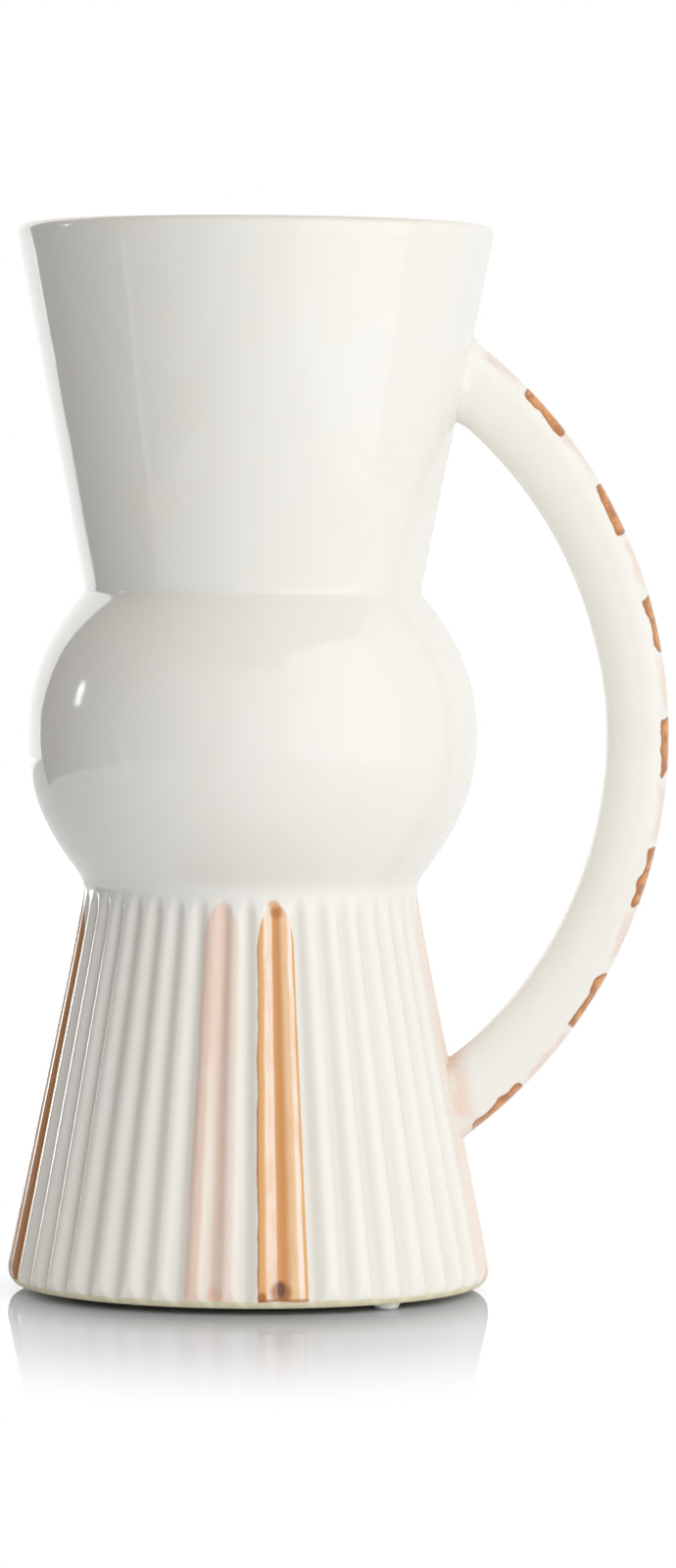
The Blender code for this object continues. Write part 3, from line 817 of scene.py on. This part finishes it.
class VASE_OT_pull_handle(bpy.types.Operator):
    """Pull the arc handle and press it on with slip"""
    bl_idname = "vase.pull_handle"
    bl_label = "Pull the handle"

    def execute(self, context):
        (outer_x, outer_z, outer_r), (inner_x, inner_z, inner_r) = handle_arcs()
        buried = 0.052  # Angle by which the ends run on into the walls
        first = math.asin((LIP_HEIGHT - HANDLE_NECK_TOP - outer_z) / outer_r) + buried
        last = math.asin((HANDLE_SKIRT_BOTTOM - outer_z) / outer_r) - buried
        stations, section_steps = 150, 64
        back, palm_side, flank = 0.62, 0.92, 0.80  # Powers of the section's curve, 1 for round
        centre = Vector((AXIS_X + outer_x, 0.0, FOOT_Z + outer_z))
        bpy.ops.object.select_all(action="DESELECT")
        bpy.ops.mesh.primitive_circle_add(
            vertices=section_steps, radius=HANDLE_WIDTH / 2.0, fill_type="NGON",
            location=centre + Vector((outer_r - HANDLE_THICKNESS / 2.0, 0.0, 0.0)),
            rotation=(math.pi / 2.0, 0.0, 0.0))
        obj = start_piece("painted_handle")
        bpy.ops.object.mode_set(mode="OBJECT")
        bpy.ops.object.transform_apply(location=True, rotation=True, scale=True)
        # The section: half round towards the palm, flatter on its painted back. It is set
        # square to the arc, then swept round the outer arc's centre from neck to skirt.
        for i, vert in enumerate(obj.data.vertices):
            turn = math.tau * i / section_steps
            out, side = math.cos(turn), math.sin(turn)
            power = back if out > 0.0 else palm_side
            out = math.copysign(abs(out) ** power, out) * HANDLE_THICKNESS / 2.0
            side = math.copysign(abs(side) ** flank, side) * HANDLE_WIDTH / 2.0
            reach = outer_r - HANDLE_THICKNESS / 2.0 + out
            vert.co = centre + Vector((reach * math.cos(first), side, reach * math.sin(first)))
        bpy.ops.object.mode_set(mode="EDIT")
        bpy.ops.mesh.select_all(action="SELECT")
        bpy.ops.mesh.spin(
            steps=stations, angle=last - first, center=centre, axis=(0.0, 1.0, 0.0))
        bpy.ops.object.mode_set(mode="OBJECT")
        # Each section is thinned to what lies between the two arcs, and swelled near the walls
        settings = clay()
        shift_x, shift_z = outer_x - inner_x, outer_z - inner_z
        for vert in obj.data.vertices:
            x, z = vert.co.x - centre.x, vert.co.z - centre.z
            ring = math.hypot(x, z)
            cos, sin = x / ring, z / ring
            along = cos * shift_x + sin * shift_z
            palm = -along + math.sqrt(along ** 2 - shift_x ** 2 - shift_z ** 2 + inner_r ** 2)
            thickness = outer_r - palm
            out = (ring - (outer_r - HANDLE_THICKNESS / 2.0)) / HANDLE_THICKNESS * thickness
            side = vert.co.y
            middle = (outer_r + palm) / 2.0
            place = Vector((outer_x + (middle + out) * cos, side, outer_z + (middle + out) * sin))
            radius = math.hypot(place.x, place.y)
            if place.z > BULB_CENTRE:
                off_wall = (radius - neck_line(place.z)) / math.hypot(1.0, NECK_FLARE)
            else:
                off_wall = (radius - skirt_line(place.z) + FLUTE_DEPTH * 0.5) / math.hypot(
                    1.0, SKIRT_TAPER)
            near = min(max(1.0 - off_wall / settings.slip_reach, 0.0), 1.15)
            swell = settings.slip_fillet * near ** 2.4
            size = math.hypot(out, side)
            out += swell * out / size
            side += swell * side / size
            vert.co = centre + Vector(((middle + out) * cos, side, (middle + out) * sin))
        finish_piece(obj, painted_handle_glaze(), "handle", angle=50.0)
        return {"FINISHED"}


class VASE_OT_stick_pads(bpy.types.Operator):
    """Stick the three silicone pads under the foot ring"""
    bl_idname = "vase.stick_pads"
    bl_label = "Stick on the pads"

    def execute(self, context):
        material = milky_silicone()
        for number, (low, high) in enumerate(PAD_BOXES, 1):
            bond = 0.0003  # Brings the pad up to the foot ring
            radius, thickness = (high.x - low.x) / 2.0, high.z - low.z + bond
            place = Vector(((low.x + high.x) / 2.0, (low.y + high.y) / 2.0, low.z))
            bpy.ops.object.select_all(action="DESELECT")
            bpy.ops.mesh.primitive_cylinder_add(
                vertices=48, radius=radius, depth=thickness, end_fill_type="NGON",
                location=place + Vector((0.0, 0.0, thickness / 2.0)))
            obj = start_piece(f"silicone_pad_{number}")
            select_where(obj, "faces", lambda face: face.normal.z < -0.9)
            # Dome: the underside is drawn in and its edge rounded, so that it stands on a flat
            bpy.ops.transform.resize(value=(0.86, 0.86, 1.0))
            bpy.ops.mesh.bevel(offset=0.0011, segments=6, affect="EDGES")
            finish_piece(obj, material, f"foot_pad_{number}")
        return {"FINISHED"}


# Studio


def floor_material():
    """White table with a thin gloss: it mirrors the foot faintly, darkens under it by its shadow and
    by a painted shadow, and fades to pure white away from the vase; the light it bounces is painted."""
    material, tree, centred = new_material("white_gloss_table")
    parts = add_node(tree, "SeparateXYZ", {"Vector": centred}).node.outputs
    # It fades sooner sideways than to the front, and at once beside the foot
    sideways = add_node(tree, "ABSOLUTE", (parts["X"],))
    wide = add_node(tree, "MULTIPLY", (sideways, 1.9))
    edge = add_node(
        tree, "MapRange", (sideways, FOOT_RADIUS - 0.003, FOOT_RADIUS + 0.026, 0.0, 0.30))
    wide = add_node(tree, "MAXIMUM", (wide, edge))
    span = distance_of(tree, wide, parts["Y"])
    fade = add_node(tree, "MapRange", (span, 0.090, 0.265), **SMOOTH)
    path = add_node(tree, "LightPath").node.outputs
    seen = add_node(tree, "MAXIMUM", (path["Is Camera Ray"], path["Is Glossy Ray"]))
    shown = add_node(tree, "MULTIPLY", (fade, seen))
    beside = distance_of(tree, parts["X"], parts["Y"])
    # Painted shadow: for camera and glossy rays the table is grey beside the foot and paler 40 mm out
    painted_shadow_fade = add_node(tree, "MapRange", (beside, FOOT_RADIUS + 0.002, FOOT_RADIUS + 0.040))
    tone = add_node(tree, "Mix", (painted_shadow_fade, opaque("BCC0C8"), opaque("E3E6EC")), data_type="RGBA")
    # Painted light for what the table bounces: its colour falls off away from the vase and to its left
    falloff = add_node(tree, "MapRange", (beside, 0.12, 0.50))
    leftward = add_node(tree, "MapRange", (parts["X"], -0.05, -0.20))
    falloff = add_node(tree, "MAXIMUM", (falloff, leftward))
    lit = add_node(tree, "Mix", (falloff, opaque("F8F8F8"), opaque("B6B6B7")), data_type="RGBA")
    tone = add_node(tree, "Mix", (seen, lit, tone), data_type="RGBA")
    matt = add_node(tree, "BsdfDiffuse", {"Color": tone})
    gloss = add_node(tree, "BsdfAnisotropic", {"Color": WHITE, "Roughness": 0.02})
    table = add_node(tree, "MixShader", (0.17, matt, gloss))
    white = add_node(tree, "Emission", {"Color": WHITE, "Strength": 1.0})
    mixed = add_node(tree, "MixShader", (shown, table, white))
    add_node(tree, "OutputMaterial", {"Surface": mixed})
    return material


def card_material(name, brightness):
    """Glowing studio card of one even brightness."""
    material, tree, _ = new_material(name)
    tone = add_node(tree, "Emission", {"Color": WHITE, "Strength": brightness})
    add_node(tree, "OutputMaterial", {"Surface": tone})
    return material


def graded_card_material(name, low, high, dim, bright):
    """Studio paper lit unevenly: its tone runs from dim at one azimuth round the vase, in degrees
    from the front towards the handle, to bright at another."""
    material, tree, centred = new_material(name)
    turned = add_node(
        tree, "Mapping", {"Vector": centred, "Rotation": (0.0, 0.0, -math.radians(low))})
    strength = add_node(
        tree, "MapRange", (azimuth_of(tree, turned), 0.0, math.radians(high - low), dim, bright))
    light = add_node(tree, "Emission", {"Color": WHITE, "Strength": strength})
    add_node(tree, "OutputMaterial", {"Surface": light})
    return material


def around(azimuth, distance, height):
    """A place round the vase's axis, at an azimuth in degrees from the front towards the handle."""
    turn = math.radians(azimuth)
    return Vector((AXIS_X + distance * math.sin(turn), -distance * math.cos(turn), height))


class VASE_OT_set_stage(bpy.types.Operator):
    """Set the table, the studio light and the camera"""
    bl_idname = "vase.set_stage"
    bl_label = "Set the stage"

    def execute(self, context):
        scene = context.scene
        bpy.ops.object.select_all(action="DESELECT")
        bpy.ops.mesh.primitive_plane_add(size=8.0, location=(0.0, 0.0, 0.0))
        floor = context.active_object
        floor.name = floor.data.name = "studio_table"
        floor.data.materials.append(floor_material())

        # Glowing cards that the camera doesn't see: each stands round the vase from one azimuth to
        # another at a radius, from one height to another. The first five light the vase and show in its
        # gloss; the dark card glows only dimly, as the shade of the room on the left. The last two show
        # in the glaze's
        # gloss alone: the ridges glint with the edge strip, and the limb card hides it from bulb and
        # neck.
        for name, low, high, radius, bottom, top, material in (
                ("backdrop_right", 78.0, 174.0, 1.3, 0.0, 1.6, card_material("plain_backdrop", 1.0)),
                ("backdrop_left", 174.0, 231.0, 1.3, 0.0, 1.6,
                 graded_card_material("lit_backdrop", 184.0, 228.0, 1.1, 2.55)),
                ("dark_card", 231.0, 295.0, 0.62, 0.0, 1.10, card_material("dark_card", 0.16)),
                ("front_sheet", 298.0, 381.0, 0.70, 0.0, 0.70,
                 graded_card_material("front_paper_sheet", 298.0, 381.0, 0.38, 1.2)),
                ("low_glow", 169.0, 191.0, 1.25, 0.0, 0.45, card_material("low_glow", 4.0)),
                ("edge_strip", 208.0, 231.0, 1.2, 0.036, 0.20, card_material("edge_strip", 7.0)),
                ("limb_card", 200.0, 233.5, 0.40, 0.115, 0.31,
                 graded_card_material("limb_card", 184.0, 228.0, 1.1, 2.3))):
            bpy.ops.object.select_all(action="DESELECT")
            bpy.ops.mesh.primitive_plane_add(size=1.0, location=around(low, radius, bottom))
            card = context.active_object
            card.name = card.data.name = name
            bpy.ops.object.mode_set(mode="EDIT")
            bpy.ops.mesh.select_all(action="SELECT")
            bpy.ops.mesh.merge(type="CENTER")
            bpy.ops.mesh.extrude_region_move(
                TRANSFORM_OT_translate={"value": (0.0, 0.0, top - bottom)})
            bpy.ops.mesh.select_all(action="SELECT")
            bpy.ops.mesh.spin(
                steps=32, angle=math.radians(low - high), center=(AXIS_X, 0.0, 0.0),
                axis=(0.0, 0.0, 1.0))
            bpy.ops.object.mode_set(mode="OBJECT")
            bpy.ops.object.transform_apply(location=True, rotation=True, scale=True)
            card.data.materials.append(material)
            card.visible_camera = False
            card.visible_shadow = False
            card.visible_diffuse = name not in {"edge_strip", "limb_card"}

        # Lamps, each upright and turned to the axis. The low fill adds no highlight, and the small
        # lamp adds nothing but its highlights, on the ridges at the left.
        for name, azimuth, distance, bottom, top, wide, radiance in (
                ("window_low", 49.0, 0.70, 0.0, 0.14, 0.744, 0.70),
                ("window_high", 49.0, 0.70, 0.14, 0.96, 0.744, 1.31),
                ("low_fill", 12.0, 0.70, 0.0, 0.14, 0.50, 1.9),
                ("small_lamp", -101.0, 3.0, 0.70, 1.13, 0.20, 40.0)):
            place = around(azimuth, distance, (bottom + top) / 2.0)
            aim = (Vector((AXIS_X, 0.0, place.z)) - place).to_track_quat("-Z", "Y").to_euler()
            bpy.ops.object.light_add(type="AREA", location=place, rotation=aim)
            lamp = context.active_object
            lamp.name = lamp.data.name = name
            lamp.data.shape = "RECTANGLE"
            lamp.data.size = wide
            lamp.data.size_y = top - bottom
            lamp.data.energy = radiance * math.pi * wide * (top - bottom)
            lamp.data.color = linear("FAFCFF")
            lamp.visible_camera = False
            lamp.visible_glossy = name != "low_fill"
            lamp.visible_diffuse = name != "small_lamp"
        bpy.ops.object.light_add(type="AREA", location=(AXIS_X, -0.4, 1.6))
        lamp = context.active_object
        lamp.name = lamp.data.name = "overhead_softbox"
        lamp.data.size = 1.2
        lamp.data.energy = 0.35 * math.pi * lamp.data.size ** 2
        lamp.visible_camera = False
        lamp.visible_glossy = False

        world = bpy.data.worlds.new("studio_white")
        world.use_nodes = True
        scene.world = world
        tree = world.node_tree
        tree.nodes.clear()
        path = add_node(tree, "LightPath").node.outputs
        fill = add_node(tree, "Background", {"Color": opaque("FFF2D8"), "Strength": 0.37})
        white = add_node(tree, "Background", {"Color": WHITE, "Strength": 1.0})
        shown = add_node(tree, "MixShader", (path["Is Camera Ray"], fill, white))
        add_node(tree, "OutputWorld", {"Surface": shown})

        # Long lens, a little above the bulb and looking slightly down
        down, roll = math.radians(2.288), math.radians(0.365)
        ahead = Vector((0.0, math.cos(down), -math.sin(down)))
        level = Vector((1.0, 0.0, 0.0))
        upright = level.cross(ahead)
        right = level * math.cos(roll) + upright * math.sin(roll)
        up = upright * math.cos(roll) - level * math.sin(roll)
        turn = Matrix((right, up, -ahead)).transposed()
        bpy.ops.object.camera_add(
            location=(-0.0004, -1.8716, 0.2188), rotation=turn.to_euler())
        camera = context.active_object
        camera.name = camera.data.name = "studio_camera"
        camera.data.sensor_fit = "VERTICAL"
        camera.data.sensor_height = 36.0
        camera.data.lens = 151.28
        camera.data.clip_start = 0.05
        scene.camera = camera
        scene.view_settings.view_transform = "Standard"
        return {"FINISHED"}


PIECES = (
    VASE_OT_throw_neck, VASE_OT_throw_bulb, VASE_OT_throw_skirt, VASE_OT_lay_slab,
    VASE_OT_pull_handle, VASE_OT_stick_pads, VASE_OT_set_stage)


class VASE_PT_steps(bpy.types.Panel):
    """Steps that make the vase, in order"""
    bl_idname = "VASE_PT_steps"
    bl_label = "Fluted vase"
    bl_space_type = "VIEW_3D"
    bl_region_type = "UI"
    bl_category = "Vase"

    def draw(self, context):
        for piece in PIECES:
            self.layout.operator(piece.bl_idname)
        for group in (context.scene.vase_clay, context.scene.vase_colours):
            column = self.layout.column()
            for name in group.bl_rna.properties.keys():
                if name not in {"rna_type", "name"}:
                    column.prop(group, name)


CLASSES = (VASE_PG_clay, VASE_PG_colours, *PIECES, VASE_PT_steps)


def register():
    for cls in CLASSES:
        bpy.utils.register_class(cls)
    bpy.types.Scene.vase_clay = bpy.props.PointerProperty(type=VASE_PG_clay)
    bpy.types.Scene.vase_colours = bpy.props.PointerProperty(type=VASE_PG_colours)


def unregister():
    del bpy.types.Scene.vase_colours
    del bpy.types.Scene.vase_clay
    for cls in reversed(CLASSES):
        bpy.utils.unregister_class(cls)


def main():
    register()
    bpy.ops.vase.throw_neck()
    bpy.ops.vase.throw_bulb()
    bpy.ops.vase.throw_skirt()
    bpy.ops.vase.lay_slab()
    bpy.ops.vase.pull_handle()
    bpy.ops.vase.stick_pads()
    bpy.ops.vase.set_stage()


if __name__ == "__main__":
    main()
